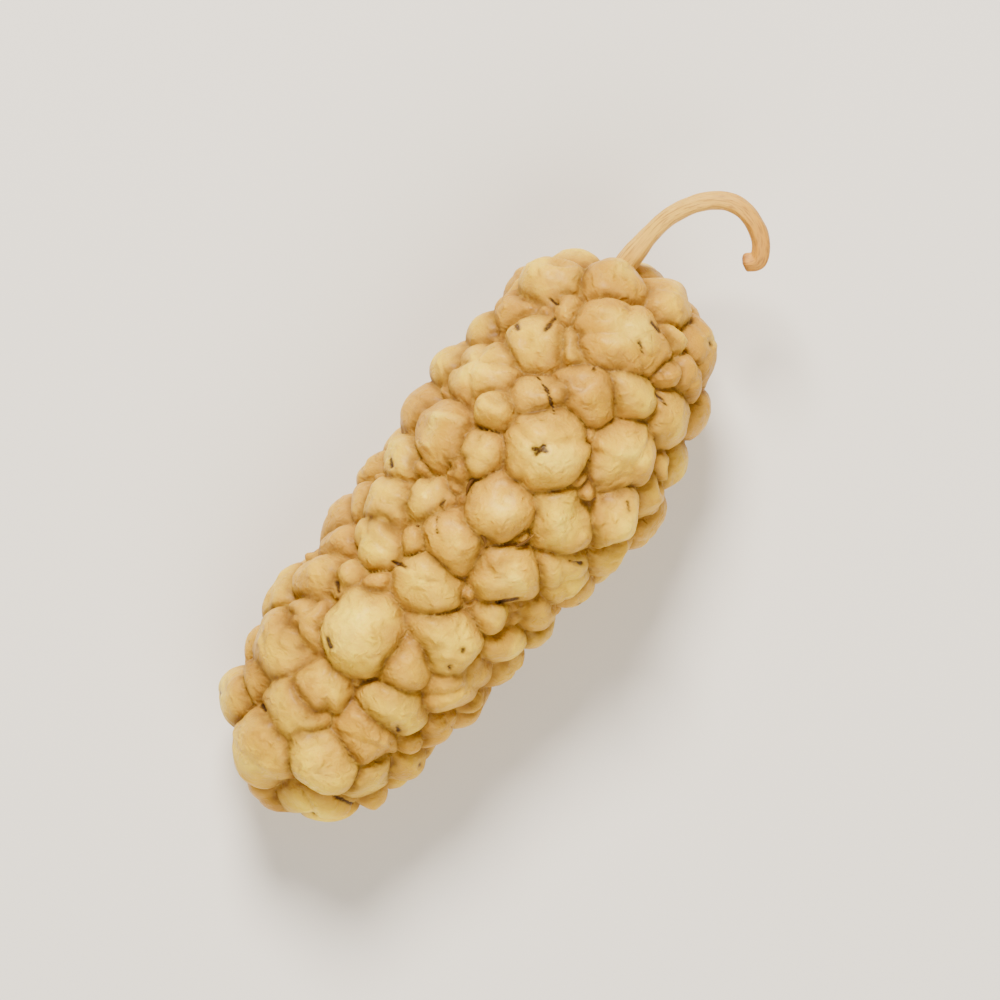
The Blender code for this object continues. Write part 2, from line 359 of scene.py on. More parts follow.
def drupelets():
    """Each drupelet's centre, its three axes, the last one outwards, and its three half sizes."""
    rng = random.Random(SEED)
    places, reaches = drupelet_places(rng)
    centres, axes, halves = [], [], []
    for place, out, reach in zip(places, outwards(places), reaches):
        stretch = 1 + rng.uniform(-STRETCH_SPREAD, STRETCH_SPREAD)
        depth = DRUPELET_DEPTH * (1 + rng.uniform(-DEPTH_SPREAD, DEPTH_SPREAD))
        depth *= SMALL_DEPTH + (1 - SMALL_DEPTH) * min(reach / DRUPELET_REACH, 1)
        lift = rng.uniform(-LIFT_SPREAD, LIFT_SPREAD)
        if len(centres) >= DRUPELET_COUNT + LATE_ONES[0]:
            lift -= SMALLEST_SINK
        turn = rng.uniform(0, math.tau)
        facing = Vector((out[0], out[1], out[2] / FLATTENING)).to_track_quat("Z", "Y")
        centres.append(placed((place + out * lift)[None])[0])
        axes.append(np.array(facing.to_matrix() @ Matrix.Rotation(turn, 3, "Z")))
        halves.append([reach * stretch, reach / stretch, depth])
    return np.array(centres), np.array(axes), np.array(halves)


CENTRES, AXES, HALVES = drupelets()

# The fruit's skin
# Each drupelet is four dried sepals closed round a seed. As it dried it sank, flattened against
# its neighbours and folded. The skin is found along rays from the core, drupelet by drupelet.

# The even mesh, and how the skin is looked for along the rays through its vertices
SKIN_STEP = 0.095
SKIN_LOW = 0.30
SKIN_HIGH = 2.30
SEAT_RISE = 0.7
TIP_RISE = 0.6
MARCH_STEPS = 20
HALVING_STEPS = 9
NEAR_DRUPELETS = 8

# How square each dome is, and the flats that its neighbours pressed on it
PILLOW = 2.04
FLATS = 3
FLAT_TILTS = (0.35, 1.15)
FLAT_HEIGHTS = (0.92, 1.12)
FLAT_SHARPNESS = 18

# How the whole is warped, melded and carved along the creases. A shift moves on to other noise
WARP = (1.6, 0.28)
WARP_SHIFTS = (40.0, 50.0, 60.0)
MELD = 0.03
MELD_MORE = 0.05
MELD_PATCHES = (2.2, 1.6)
CARVING = (0.05, 0.24, 0.13, 1.8)
CARVING_SHIFT = 15.0
UNEVENNESS = (5.5, 0.10)
UNEVENNESS_SHIFT = 9.0

# What is drawn by lot for each drupelet: where its sepals join, its creases, dents, pleats and pit
DETAIL_SEED = 23
SEPAL_COUNTS = (2, 3, 3, 4)
SEPAL_SWIRLS = (-0.7, 0.7)
TIP_STRAYS = (-0.28, 0.28)
CLEFT_WIDTH = 0.24
CLEFT_SHARE = 0.42
CLEFT_DEPTHS = (0.06, 0.22)
CLEFT_REACH = 0.8
CREASE_WIDTH = 0.07
CREASE_DEPTHS = (0.0, 0.04)
DENT_SHARE = 0.65
DENT_DEPTHS = (0.06, 0.28)
DENT_RADII = (0.35, 0.75)
DENT_PLACES = (-0.7, 0.7)
PLEAT_COUNTS = (7, 9, 11, 13)
PLEAT_DEPTHS = (0.0, 0.03)
PLEAT_START = 0.35
SIDE_RISE = 1.0
PIT_SHARE = 0.45
PIT_STRENGTHS = (0.7, 1.1)
PIT_WIDTH = 0.2
PIT_DEPTH = 0.10
SHRIVELLINGS = (0.25, 1.0)

# Wrinkles over them all: how far apart and how deep
WRINKLES = [(1.25, 0.055), (0.5, 0.034)]
WRINKLE_SHIFTS = (0.0, 5.0)
WRINKLE_STRAY = (0.35, 31.0)
WRINKLE_LEVEL = 0.6

# Scars of fallen flower parts and cracks on the upper side, from end to end: x, y, x, y and width
SCARS = [
    (0.15, 8.75, 0.55, 8.70, 0.16),
    (0.20, 7.85, 0.65, 7.60, 0.12),
    (-0.45, 5.95, -0.40, 5.90, 0.14),
    (2.05, 6.80, 2.65, 6.68, 0.10),
    (-3.45, 6.95, -3.05, 6.98, 0.09),
    (-2.85, 6.45, -2.78, 5.90, 0.17),
    (-3.75, 5.32, -3.60, 5.25, 0.14),
    (-1.85, 4.35, -1.20, 4.15, 0.09),
    (-1.20, 4.15, -0.45, 3.68, 0.09),
    (-0.22, 2.15, 0.22, 2.40, 0.12),
    (0.02, 2.50, 0.00, 2.02, 0.12),
    (3.90, 2.90, 4.15, 2.70, 0.15),
    (3.65, -0.22, 4.05, 0.02, 0.12),
    (-1.62, -1.45, -1.58, -1.72, 0.13),
    (-1.38, -2.15, -1.02, -2.60, 0.10),
    (2.50, -3.22, 3.05, -2.60, 0.12),
    (-4.20, -1.60, -3.95, -1.80, 0.10),
    (-1.62, -4.50, -1.05, -4.36, 0.12),
    (2.68, -5.38, 2.72, -5.44, 0.15),
    (2.70, -6.20, 2.74, -6.26, 0.11),
    (-2.75, -6.50, -2.45, -6.72, 0.15),
    (-1.65, -8.32, -1.28, -8.50, 0.13),
    (2.66, -9.22, 2.76, -9.28, 0.15),
    (-1.95, -12.00, -1.75, -12.04, 0.14),
    (2.50, -12.95, 3.30, -12.70, 0.11),
]
SCAR_DEPTH = 0.14
SCAR_RAGGED = (0.5, 0.08)
RAGGED_SHIFT = 71.0
UPPER_SIDE = 0.15

# The palest and the most golden drupelets there: x, y and tone, where 0 is palest
LOBE_TONES = [
    (0.10, 10.0, 0.35),
    (-0.25, 7.6, 1.0),
    (-1.65, 6.0, 0.25),
    (1.35, 6.0, 0.0),
    (-0.05, 4.8, 0.9),
    (2.85, 3.7, 0.4),
    (-1.30, 3.6, 0.5),
    (0.05, 2.4, 0.6),
    (2.55, 0.8, 0.0),
    (0.15, -0.2, 0.7),
    (2.05, -5.4, 0.15),
    (-0.85, -7.2, 0.0),
    (-1.05, -11.2, 0.0),
    (3.10, -11.5, 0.1),
    (1.50, -12.2, 0.0),
    (-0.85, -13.4, 0.6),
    (-3.85, -5.4, 0.8),
    (4.35, -6.6, 0.7),
    (-2.85, -8.2, 0.75),
    (4.15, -10.0, 0.9),
    (-2.85, -10.9, 0.6),
]
OUT_OF_REACH = 9
OWN_TONE = 0.75
TIP_END = -13.0
STEM_END = 9.0
RIM_REACH = 1.5

# Folds of loose dried skin there, the same way, and how high they stand
FOLDS = [
    (-2.25, 1.65, -4.30, 0.40, 0.24, 0.20),
    (-2.85, 0.10, -4.30, -1.10, 0.22, 0.16),
    (0.75, -10.10, 1.50, -9.80, 0.18, 0.14),
    (1.90, -10.20, 3.40, -9.90, 0.17, 0.13),
    (3.05, 10.10, 3.35, 9.00, 0.13, 0.13),
    (2.35, 10.30, 2.60, 9.30, 0.13, 0.10),
]
FOLD_SPAN = (0.12, 0.76)


def drawn(rng, low_high):
    return np.array([rng.uniform(*low_high) for _ in CENTRES])


rng = random.Random(DETAIL_SEED)
SEPALS = np.array([rng.choice(SEPAL_COUNTS) for _ in CENTRES])
SEPAL_TURN = drawn(rng, (0, math.tau))
SEPAL_SWIRL = drawn(rng, SEPAL_SWIRLS)
CLEFT_DEPTH = drawn(rng, CLEFT_DEPTHS) * (drawn(rng, (0, 1)) < CLEFT_SHARE)
CLEFT_DEPTH *= np.clip(HALVES[:, 0] - CLEFT_REACH, 0, 1)
CREASE_DEPTH = drawn(rng, CREASE_DEPTHS)
TIP_X = drawn(rng, TIP_STRAYS)
TIP_Y = drawn(rng, TIP_STRAYS)
DENT_X = drawn(rng, DENT_PLACES)
DENT_Y = drawn(rng, DENT_PLACES)
DENT_RADIUS = drawn(rng, DENT_RADII)
DENT_DEPTH = drawn(rng, DENT_DEPTHS) * (drawn(rng, (0, 1)) < DENT_SHARE)
PLEATS = np.array([rng.choice(PLEAT_COUNTS) for _ in CENTRES])
PLEAT_DEPTH = drawn(rng, PLEAT_DEPTHS)
TONE = drawn(rng, (0, 1))
SHRIVEL = drawn(rng, SHRIVELLINGS)
LOW_DOWN = CENTRES[:, 2] < placed(CENTRES * [1, 1, 0])[:, 2] + SIDE_RISE
for x, y, tone in LOBE_TONES:
    from_place = np.hypot(CENTRES[:, 0] - x, CENTRES[:, 1] - y)
    TONE[(from_place + OUT_OF_REACH * LOW_DOWN).argmin()] = tone
PIT = drawn(rng, PIT_STRENGTHS) * (drawn(rng, (0, 1)) < PIT_SHARE) * LOW_DOWN
tilts = np.array([drawn(rng, FLAT_TILTS) for _ in range(FLATS)]).T
turns = np.array([drawn(rng, (0, math.tau)) for _ in range(FLATS)]).T
heights = np.array([drawn(rng, FLAT_HEIGHTS) for _ in range(FLATS)]).T
leans = np.sin(tilts)
FLAT_NORMALS = np.stack([leans * np.cos(turns), leans * np.sin(turns), np.cos(tilts)], axis=2)
FLAT_NORMALS = FLAT_NORMALS / heights[:, :, None]


def bell(distance, width):
    return np.exp(-((distance / width) ** 2))


def relief(index, x, y):
    """How far the skin of these drupelets stands out at x, y of their unit domes, and how creased it is."""
    away_x = x - TIP_X[index]
    away_y = y - TIP_Y[index]
    from_tip = np.hypot(away_x, away_y)
    angle = np.arctan2(away_y, away_x) - SEPAL_TURN[index] + SEPAL_SWIRL[index] * from_tip
    part = angle * SEPALS[index] / math.tau
    off_line = np.abs(part - np.round(part)) * math.tau / SEPALS[index]
    gap = from_tip * np.sin(np.minimum(off_line, math.pi / 2)) * HALVES[index, 0]
    cleft = bell(gap, CLEFT_WIDTH)
    groove = bell(gap, CREASE_WIDTH) * np.clip(from_tip * 4, 0, 1) * np.clip(1.25 - from_tip, 0, 1)
    dent = np.clip(1 - np.hypot(x - DENT_X[index], y - DENT_Y[index]) / DENT_RADIUS[index], 0, 1)
    pleat = np.sin(angle * PLEATS[index] + 2 * from_tip) * np.clip(from_tip - PLEAT_START, 0, 1)
    pit = bell(from_tip * HALVES[index, 0], PIT_WIDTH) * PIT[index]
    out = -CLEFT_DEPTH[index] * cleft - CREASE_DEPTH[index] * groove
    out = out - DENT_DEPTH[index] * dent * dent * (3 - 2 * dent)
    out = out + PLEAT_DEPTH[index] * pleat - PIT_DEPTH * pit
    marked = groove * np.clip(CREASE_DEPTH[index] / CREASE_DEPTHS[1] + CLEFT_DEPTH[index] * 3, 0, 1)
    return out, marked, from_tip


def outside(points, near):
    """How far a point is outside each of its near drupelets, in millimetres, and where on their domes."""
    away = points[:, None] - CENTRES[near]
    local = np.einsum("mkji,mkj->mki", AXES[near], away) / HALVES[near]
    across = np.hypot(local[..., 0], local[..., 1])
    size = (across**PILLOW + np.abs(local[..., 2]) ** PILLOW) ** (1 / PILLOW)
    flats = np.einsum("mkfi,mki->mkf", FLAT_NORMALS[near], local) / size[..., None]
    flatter = (1 + (np.clip(flats, 0, None) ** FLAT_SHARPNESS).sum(axis=2)) ** (1 / FLAT_SHARPNESS)
    out, groove, from_tip = relief(near, local[..., 0] / size, local[..., 1] / size)
    return (size * flatter - 1) * HALVES[near].mean(axis=-1) - out, groove, from_tip


def melded(distances, meld):
    """The distance outside all of them together, with the creases between them filled a little."""
    least = distances.min(axis=1)
    spread = np.exp(-(distances - least[:, None]) / meld[:, None]).sum(axis=1)
    return least - meld * np.log(spread)


def noise_at(points, wavelength, shift=0.0):
    return np.array([noise.noise(Vector(point) / wavelength + Vector((shift, 0, 0))) for point in points])


def skin_base():
    """A closed even mesh round the core. Its vertices only give the rays that the skin is found along."""
    bm = bmesh.new()
    bmesh.ops.create_uvsphere(bm, u_segments=48, v_segments=40, radius=1.0)
    low = STATION_Y[0] - STATION_RADIUS[0]
    high = STATION_Y[-1] + STATION_RADIUS[-1]
    points = np.array([vert.co for vert in bm.verts])
    rays = np.stack([points[:, 0], (low + high) / 2 + points[:, 2] * (high - low) / 2, -points[:, 1]], axis=1)
    feet, radii = core_feet(rays)
    rays[:, 0] = feet[:, 0] + points[:, 0] * radii
    rays[:, 2] *= radii
    for vert, place in zip(bm.verts, on_seat(rays, CORE_RISE)):
        vert.co = place
    mesh = bpy.data.meshes.new("fruit_skin")
    bm.to_mesh(mesh)
    bm.free()
    base = bpy.data.objects.new("fruit_skin", mesh)
    bpy.context.scene.collection.objects.link(base)
    remesh = base.modifiers.new("even", "REMESH")
    remesh.mode = "VOXEL"
    remesh.voxel_size = SKIN_STEP
    bpy.context.view_layer.objects.active = base
    bpy.ops.object.modifier_apply(modifier=remesh.name)
    return base


fruit_skin = skin_base()
mesh = fruit_skin.data
rays = np.empty(len(mesh.vertices) * 3)
mesh.vertices.foreach_get("co", rays)
rays = rays.reshape(-1, 3)
feet, radii = core_feet(rays)
away = outwards(rays)
seat = placed(feet + away * (radii + SEAT_RISE)[:, None])
gaps = np.linalg.norm(seat[:, None] - (CENTRES + AXES[:, :, 2] * TIP_RISE)[None], axis=2)
near = np.argsort(gaps, axis=1)[:, :NEAR_DRUPELETS]
patch_size, patch_contrast = MELD_PATCHES
meld = MELD + MELD_MORE * np.clip(noise_at(seat, patch_size) * patch_contrast, 0, 1)
warp = np.stack([noise_at(seat, WARP[0], shift) for shift in WARP_SHIFTS], axis=1) * WARP[1]


def skin_distance(reach, some):
    """How far the points at this reach along some rays are outside the skin."""
    distances, _, _ = outside(placed(feet[some] + away[some] * reach[:, None]) + warp[some], near[some])
    core = (reach - radii[some] - CORE_RISE)[:, None]
    return melded(np.hstack([distances, core]), meld[some])


inner = radii + SKIN_LOW
outer = radii + SKIN_HIGH
stride = (SKIN_HIGH - SKIN_LOW) / MARCH_STEPS
waiting = np.arange(len(rays))
for step in range(MARCH_STEPS):
    reach = radii[waiting] + SKIN_HIGH - stride * (step + 1)
    hit = skin_distance(reach, waiting) < 0
    inner[waiting[hit]] = reach[hit]
    outer[waiting[hit]] = reach[hit] + stride
    waiting = waiting[~hit]
everywhere = np.arange(len(rays))
for _ in range(HALVING_STEPS):
    half = (inner + outer) / 2
    inside = skin_distance(half, everywhere) < 0
    inner = np.where(inside, half, inner)
    outer = np.where(inside, outer, half)
points = placed(feet + away * inner[:, None])
distances, grooves, from_tip = outside(points + warp, near)
order = np.argsort(distances, axis=1)
row = np.arange(len(points))
first, second = order[:, 0], order[:, 1]
owner = near[row, first]
off_crease = distances[row, second] - distances[row, first]
pits = PIT[owner] * bell(from_tip[row, first] * HALVES[owner, 0], PIT_WIDTH)
height = (inner - radii - CORE_RISE) / (DRUPELET_DEPTH - CORE_RISE)


def along_line(points, x_1, y_1, x_2, y_2):
    """How far points are from a line from end to end seen from above, and where beside it they are."""
    line = np.array([x_2 - x_1, y_2 - y_1])
    from_start = points[:, :2] - [x_1, y_1]
    share = np.clip(from_start @ line / (line @ line), 0, 1)
    return np.linalg.norm(from_start - share[:, None] * line, axis=1), share


upper_side = away[:, 2] > UPPER_SIDE
seen = points[upper_side]
ragged = SCAR_RAGGED[1] * noise_at(seen, SCAR_RAGGED[0], RAGGED_SHIFT)
scars = np.zeros(len(points))
folds = np.zeros(len(points))
for x_1, y_1, x_2, y_2, width in SCARS:
    off, _ = along_line(seen, x_1, y_1, x_2, y_2)
    scars[upper_side] = np.maximum(scars[upper_side], bell(np.maximum(off + ragged, 0), width))
for x_1, y_1, x_2, y_2, width, rise in FOLDS:
    off, share = along_line(seen, x_1, y_1, x_2, y_2)
    crest = rise * bell(np.abs(off + ragged), width)
    crest *= np.sin(math.pi * (FOLD_SPAN[0] + FOLD_SPAN[1] * share))
    folds[upper_side] = np.maximum(folds[upper_side], crest)

shallow, steep, carved_width, wavelength = CARVING
steepness = np.clip(0.5 + 0.9 * noise_at(seat, wavelength, CARVING_SHIFT), 0, 1)
carving = shallow + (steep - shallow) * steepness
reach = inner + UNEVENNESS[1] * noise_at(seat, UNEVENNESS[0], UNEVENNESS_SHIFT)
reach = reach - SCAR_DEPTH * scars + folds
reach -= carving * bell(off_crease, carved_width)
points = placed(feet + away * reach[:, None])
mesh.vertices.foreach_set("co", points.ravel())
mesh.update()
normals = np.empty(len(mesh.vertices) * 3)
mesh.vertex_normals.foreach_get("vector", normals)
normals = normals.reshape(-1, 3)
wrinkle = np.zeros(len(points))
for (wavelength, depth), shift in zip(WRINKLES, WRINKLE_SHIFTS):
    stray = WRINKLE_STRAY[0] * wavelength * noise_at(points, wavelength, WRINKLE_STRAY[1])
    ridge = 1 - 2 * np.abs(noise_at(points + stray[:, None], wavelength, shift))
    wrinkle += depth * (ridge - WRINKLE_LEVEL) * SHRIVEL[owner]
points = points + normals * wrinkle[:, None]
points[:, 2] = np.maximum(points[:, 2], 0)
mesh.vertices.foreach_set("co", (points * 0.001).ravel())
mesh.update()
mesh.shade_smooth()


def set_attribute(mesh, name, values):
    """Keeps a value at each point of the skin, for the flesh's colours to go by."""
    mesh.attributes.new(name, "FLOAT", "POINT").data.foreach_set("value", values)


from_end = np.clip((points[:, 1] - TIP_END) / (STEM_END - TIP_END), 0, 1)
set_attribute(mesh, "rim", np.minimum(off_crease, RIM_REACH))
set_attribute(mesh, "height", height)
set_attribute(mesh, "groove", grooves[row, first])
set_attribute(mesh, "scar", np.maximum(scars, pits))
set_attribute(mesh, "fold", folds / max(fold[-1] for fold in FOLDS))
set_attribute(mesh, "tone", OWN_TONE * TONE[owner] + (1 - OWN_TONE) * from_end)

# Sun-dried mulberry flesh: a thin satin skin over sticky sugared pulp, cream with painted highlights on
# the drupelet tops, and brown in the creases: partly its own sugar browning, partly painted shade.

FLESH_CREAM = "#F2D022"
FLESH_TAN = "#D6A41C"
FLESH_AMBER = "#AA7D2E"
# The darkest brown is painted shade along the creases and deep down between the drupelets
FLESH_CREASE_SHADE = "#643E1A"
FLESH_SPECK = "#3A200E"
FLESH_PALE = "#F6DE50"
FLESH_GOLD = "#BA8C06"
GLOSS_TINT = "#FFE09A"
COAT_TINT = "#FFE9B4"

# Patterns of the real flesh, in millimetres. The pores are drawn coarse enough to show
MOTTLE_SIZE = 1.6
BLOTCH_SIZE = 0.45
PORE_SIZE = 0.09
FOLDING_SIZE = 0.9
CREPING_SIZE = 0.38

# How strong each relief is, and how deep in metres
PORE_RELIEF = {"Strength": 0.6, "Distance": 0.00006}
CREPING_RELIEF = {"Strength": 0.9, "Distance": 0.00012}
FOLDING_RELIEF = {"Strength": 1.0, "Distance": 0.00022}

flesh, tree, shader = new_material("sun_dried_mulberry_flesh")
place = add_node(tree, "ShaderNodeTexCoord", {}).outputs["Object"]
rim = add_node(tree, "ShaderNodeAttribute", {}, attribute_name="rim").outputs["Fac"]
groove = add_node(tree, "ShaderNodeAttribute", {}, attribute_name="groove").outputs["Fac"]
scar = add_node(tree, "ShaderNodeAttribute", {}, attribute_name="scar").outputs["Fac"]
fold = add_node(tree, "ShaderNodeAttribute", {}, attribute_name="fold").outputs["Fac"]
tone = add_node(tree, "ShaderNodeAttribute", {}, attribute_name="tone").outputs["Fac"]
height = add_node(tree, "ShaderNodeAttribute", {}, attribute_name="height").outputs["Fac"]
mottle = add_node(
    tree, "ShaderNodeTexNoise", {"Vector": place, "Scale": 1000 / MOTTLE_SIZE, "Detail": 4.0}
).outputs["Fac"]
blotch = add_node(
    tree, "ShaderNodeTexNoise", {"Vector": place, "Scale": 1000 / BLOTCH_SIZE, "Detail": 5.0}
).outputs["Fac"]
folding = add_node(
    tree,
    "ShaderNodeTexNoise",
    {"Vector": place, "Scale": 1000 / FOLDING_SIZE, "Detail": 3.0, "Roughness": 0.55, "Distortion": 0.6},
    noise_type="RIDGED_MULTIFRACTAL",
).outputs["Fac"]
creping = add_node(
    tree,
    "ShaderNodeTexNoise",
    {"Vector": place, "Scale": 1000 / CREPING_SIZE, "Detail": 4.0, "Roughness": 0.6, "Distortion": 0.8},
    noise_type="RIDGED_MULTIFRACTAL",
).outputs["Fac"]
pores = add_node(
    tree, "ShaderNodeTexNoise", {"Vector": place, "Scale": 1000 / PORE_SIZE, "Detail": 3.0}
).outputs["Fac"]


def ramp(value, low, high, to_low=0.0, to_high=1.0):
    """A value's range between low and high, eased to another range."""
    return add_node(
        tree,
        "ShaderNodeMapRange",
        {"Value": value, "From Min": low, "From Max": high, "To Min": to_low, "To Max": to_high},
        interpolation_type="SMOOTHSTEP",
    ).outputs["Result"]


def mixed(share, first_colour, second_colour):
    return add_node(
        tree, "ShaderNodeMix", {0: share, 6: first_colour, 7: second_colour}, data_type="RGBA"
    ).outputs[2]


def product(first_value, second_value):
    return add_node(
        tree, "ShaderNodeMath", {0: first_value, 1: second_value}, operation="MULTIPLY"
    ).outputs[0]


# Cream to tan and gold from drupelet to drupelet, with amber mottling and a painted highlight that pales each
# top
skin_colour = mixed(ramp(tone, 0.1, 0.9, 0.0, 0.95), linear(FLESH_CREAM), linear(FLESH_TAN))
skin_colour = mixed(ramp(tone, 0.6, 0.98, 0.0, 0.7), skin_colour, linear(FLESH_GOLD))
skin_colour = mixed(ramp(mottle, 0.42, 0.64, 0.0, 0.6), skin_colour, linear(FLESH_TAN))
skin_colour = mixed(ramp(mottle, 0.55, 0.74, 0.0, 0.5), skin_colour, linear(FLESH_AMBER))
# Painted highlight: paler towards each drupelet's middle, away from its creases
skin_colour = mixed(ramp(rim, 0.7, RIM_REACH, 0.0, 0.5), skin_colour, linear(FLESH_PALE))
skin_colour = mixed(ramp(blotch, 0.52, 0.75, 0.0, 0.35), skin_colour, linear(FLESH_AMBER))
skin_colour = mixed(ramp(fold, 0.35, 0.9, 0.0, 0.3), skin_colour, linear(FLESH_PALE))
skin_colour = mixed(ramp(groove, 0.35, 1.0, 0.0, 0.35), skin_colour, linear(FLESH_AMBER))

# Painted shade over some sugar browning: darker towards the creases and low down. Browner in the scars
skin_colour = mixed(ramp(rim, 1.2, 0.1, 0.0, 0.75), skin_colour, linear(FLESH_AMBER))
# Painted shade: dark along the crease lines between drupelets
creased = product(ramp(rim, 0.4, 0.0), ramp(blotch, 0.3, 0.6, 0.3, 0.8))
skin_colour = mixed(creased, skin_colour, linear(FLESH_CREASE_SHADE))
# Painted shade low down between the drupelets, where the skin sinks towards the core
skin_colour = mixed(ramp(height, 0.7, 0.0, 0.0, 0.6), skin_colour, linear(FLESH_AMBER))
deep = product(ramp(height, 0.3, -0.1), ramp(blotch, 0.35, 0.6, 0.2, 0.8))
skin_colour = mixed(deep, skin_colour, linear(FLESH_CREASE_SHADE))
skin_colour = mixed(ramp(scar, 0.05, 0.7, 0.0, 0.5), skin_colour, linear(FLESH_AMBER))
scarred = product(ramp(scar, 0.5, 0.92), ramp(pores, 0.3, 0.6, 0.85, 1.0))
skin_colour = mixed(scarred, skin_colour, linear(FLESH_SPECK))
tree.links.new(skin_colour, shader.inputs["Base Color"])

# A satin skin, duller in the creases, with a thin sticky coat and light that passes through
in_creases = add_node(
    tree,
    "ShaderNodeMath",
    {0: ramp(height, 0.7, 0.1, 0.0, 0.35), 1: ramp(rim, 0.45, 0.05, 0.0, 0.35)},
    operation="MAXIMUM",
).outputs[0]
dull = add_node(
    tree, "ShaderNodeMath", {0: ramp(blotch, 0.3, 0.7, 0.34, 0.5), 1: in_creases}, operation="ADD"
).outputs[0]
tree.links.new(dull, shader.inputs["Roughness"])
shader.inputs["IOR"].default_value = 1.4
shader.inputs["Specular IOR Level"].default_value = 0.34
shader.inputs["Specular Tint"].default_value = linear(GLOSS_TINT)
shader.inputs["Coat Weight"].default_value = 0.09
shader.inputs["Coat Roughness"].default_value = 0.3
shader.inputs["Coat Tint"].default_value = linear(COAT_TINT)
shader.inputs["Subsurface Weight"].default_value = 0.5
shader.inputs["Subsurface Radius"].default_value = (1.0, 0.78, 0.35)
shader.inputs["Subsurface Scale"].default_value = 0.0008
fine = add_node(tree, "ShaderNodeBump", {"Height": pores, **PORE_RELIEF}).outputs[0]
coarse = add_node(tree, "ShaderNodeBump", {"Height": creping, "Normal": fine, **CREPING_RELIEF}).outputs[0]
folded = add_node(tree, "ShaderNodeBump", {"Height": folding, "Normal": coarse, **FOLDING_RELIEF}).outputs[0]
tree.links.new(folded, shader.inputs["Normal"])
mesh.materials.append(flesh)
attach(fruit_skin, "root")
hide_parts("fruit")

# The dried styles
# Each flower had a thread-like style, and a few are left at the tips of smaller drupelets: short,
# dark, dry threads that lie bent on the skin where the sepals meet.

STYLE_SHARE = 0.10
STYLE_STEEPEST = 0.5
STYLE_WIDEST_SEAT = 1.15
STYLE_LENGTHS = (0.35, 0.75)
STYLE_THICKNESS = 0.05
STYLE_TAPER = 0.45
STYLE_BENDS = (-0.6, 0.6)
STYLE_LIFT = 0.3
STYLE_ROUGHNESS = (0.12, 0.02)
STYLE_PATCHES = 600.0
STYLE_COLOUR = "#5C3C12"
STYLE_LIGHT_COLOUR = "#986C28"

bm = bmesh.new()
for index in range(len(CENTRES)):
    mine = np.flatnonzero(owner == index)
    if len(mine) == 0 or rng.random() > STYLE_SHARE:
        continue
    top = mine[from_tip[mine, first[mine]].argmin()]
    if abs(normals[top][2]) < STYLE_STEEPEST or HALVES[index, 0] > STYLE_WIDEST_SEAT:
        continue
    along = Vector(normals[top]).orthogonal()
    along.rotate(Matrix.Rotation(rng.uniform(0, math.tau), 3, Vector(normals[top])))
    length = rng.uniform(*STYLE_LENGTHS)
    bend = rng.uniform(*STYLE_BENDS)
    turned = Matrix((along, Vector(normals[top]).cross(along), Vector(normals[top]))).transposed()
    seat_place = Vector(points[top]) + Vector(normals[top]) * STYLE_THICKNESS * STYLE_LIFT
    thread = bmesh.ops.create_uvsphere(bm, u_segments=8, v_segments=12, radius=1.0)["verts"]
    for vert in thread:
        across, up, end = vert.co
        width = STYLE_THICKNESS * (1 - STYLE_TAPER * end)
        shape = Vector((end * length / 2, across * width + bend * length / 2 * end * end, up * width))
        vert.co = seat_place + turned @ shape
for vert in bm.verts:
    bump = noise.noise(vert.co / STYLE_ROUGHNESS[0])
    vert.co += vert.co.normalized() * bump * STYLE_ROUGHNESS[1]
    vert.co.z = max(vert.co.z, 0)
    vert.co *= 0.001
style_mesh = bpy.data.meshes.new("dried_styles")
bm.to_mesh(style_mesh)
bm.free()
style_mesh.shade_smooth()
styles = bpy.data.objects.new("dried_styles", style_mesh)
bpy.context.scene.collection.objects.link(styles)

# A dried plant thread: dull and dark brown, with paler worn patches
thread_fibre, tree, shader = new_material("dried_flower_style")
place = add_node(tree, "ShaderNodeTexCoord", {}).outputs["Object"]
patch = add_node(
    tree, "ShaderNodeTexNoise", {"Vector": place, "Scale": STYLE_PATCHES, "Detail": 2.0}
).outputs["Fac"]
style_colour = mixed(ramp(patch, 0.52, 0.62), linear(STYLE_COLOUR), linear(STYLE_LIGHT_COLOUR))
tree.links.new(style_colour, shader.inputs["Base Color"])
shader.inputs["Roughness"].default_value = 0.85
shader.inputs["Specular IOR Level"].default_value = 0.2
style_mesh.materials.append(thread_fibre)
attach(styles, "root")

# The stalk
# A thin woody stalk that grew out of the core and curled over as it dried. It is ribbed along
# its length, flares where it leaves the fruit and ends in a rough break.

STALK_AXIS = Vector((-0.06, 0.97, 0.22)).normalized()
STALK_RADIUS = 0.38
STALK_ROOT_DEPTH = 1.9
STALK_STRAIGHT = 1.6
STALK_ROUTE = [
    (-1.95, 12.2, 5.75),
    (-1.35, 13.45, 6.00),
    (-0.50, 14.15, 6.10),
    (0.45, 14.20, 6.05),
    (1.30, 13.80, 5.85),
    (1.70, 13.20, 5.60),
    (1.35, 12.75, 5.45),
]
STALK_STEPS_A_SPAN = 14
STALK_SIDES = 28
STALK_RIBS = 5
STALK_RIB_HEIGHT = 0.07
STALK_TWIST = 2.2
STALK_ROUGHNESS = (0.08, 1.4, 1.3)
STALK_FLARE = (0.24, 0.20, 0.05)
STALK_THICK_END = (0.05, 0.75)
STALK_BLUNT_END = (0.6, 0.975)
STALK_SLIMMEST = 0.90
STALK_TEAR = (0.08, 0.03)
STALK_FIBRES = (9.0, 5.0)
STALK_FIBRE_SCALE = 4.0
STALK_FIBRE_RELIEF = {"Strength": 0.5, "Distance": 0.00006}
STALK_CREAM = "#DCAE3C"
STALK_ORANGE = "#C88C1E"
STALK_BROWN = "#885420"


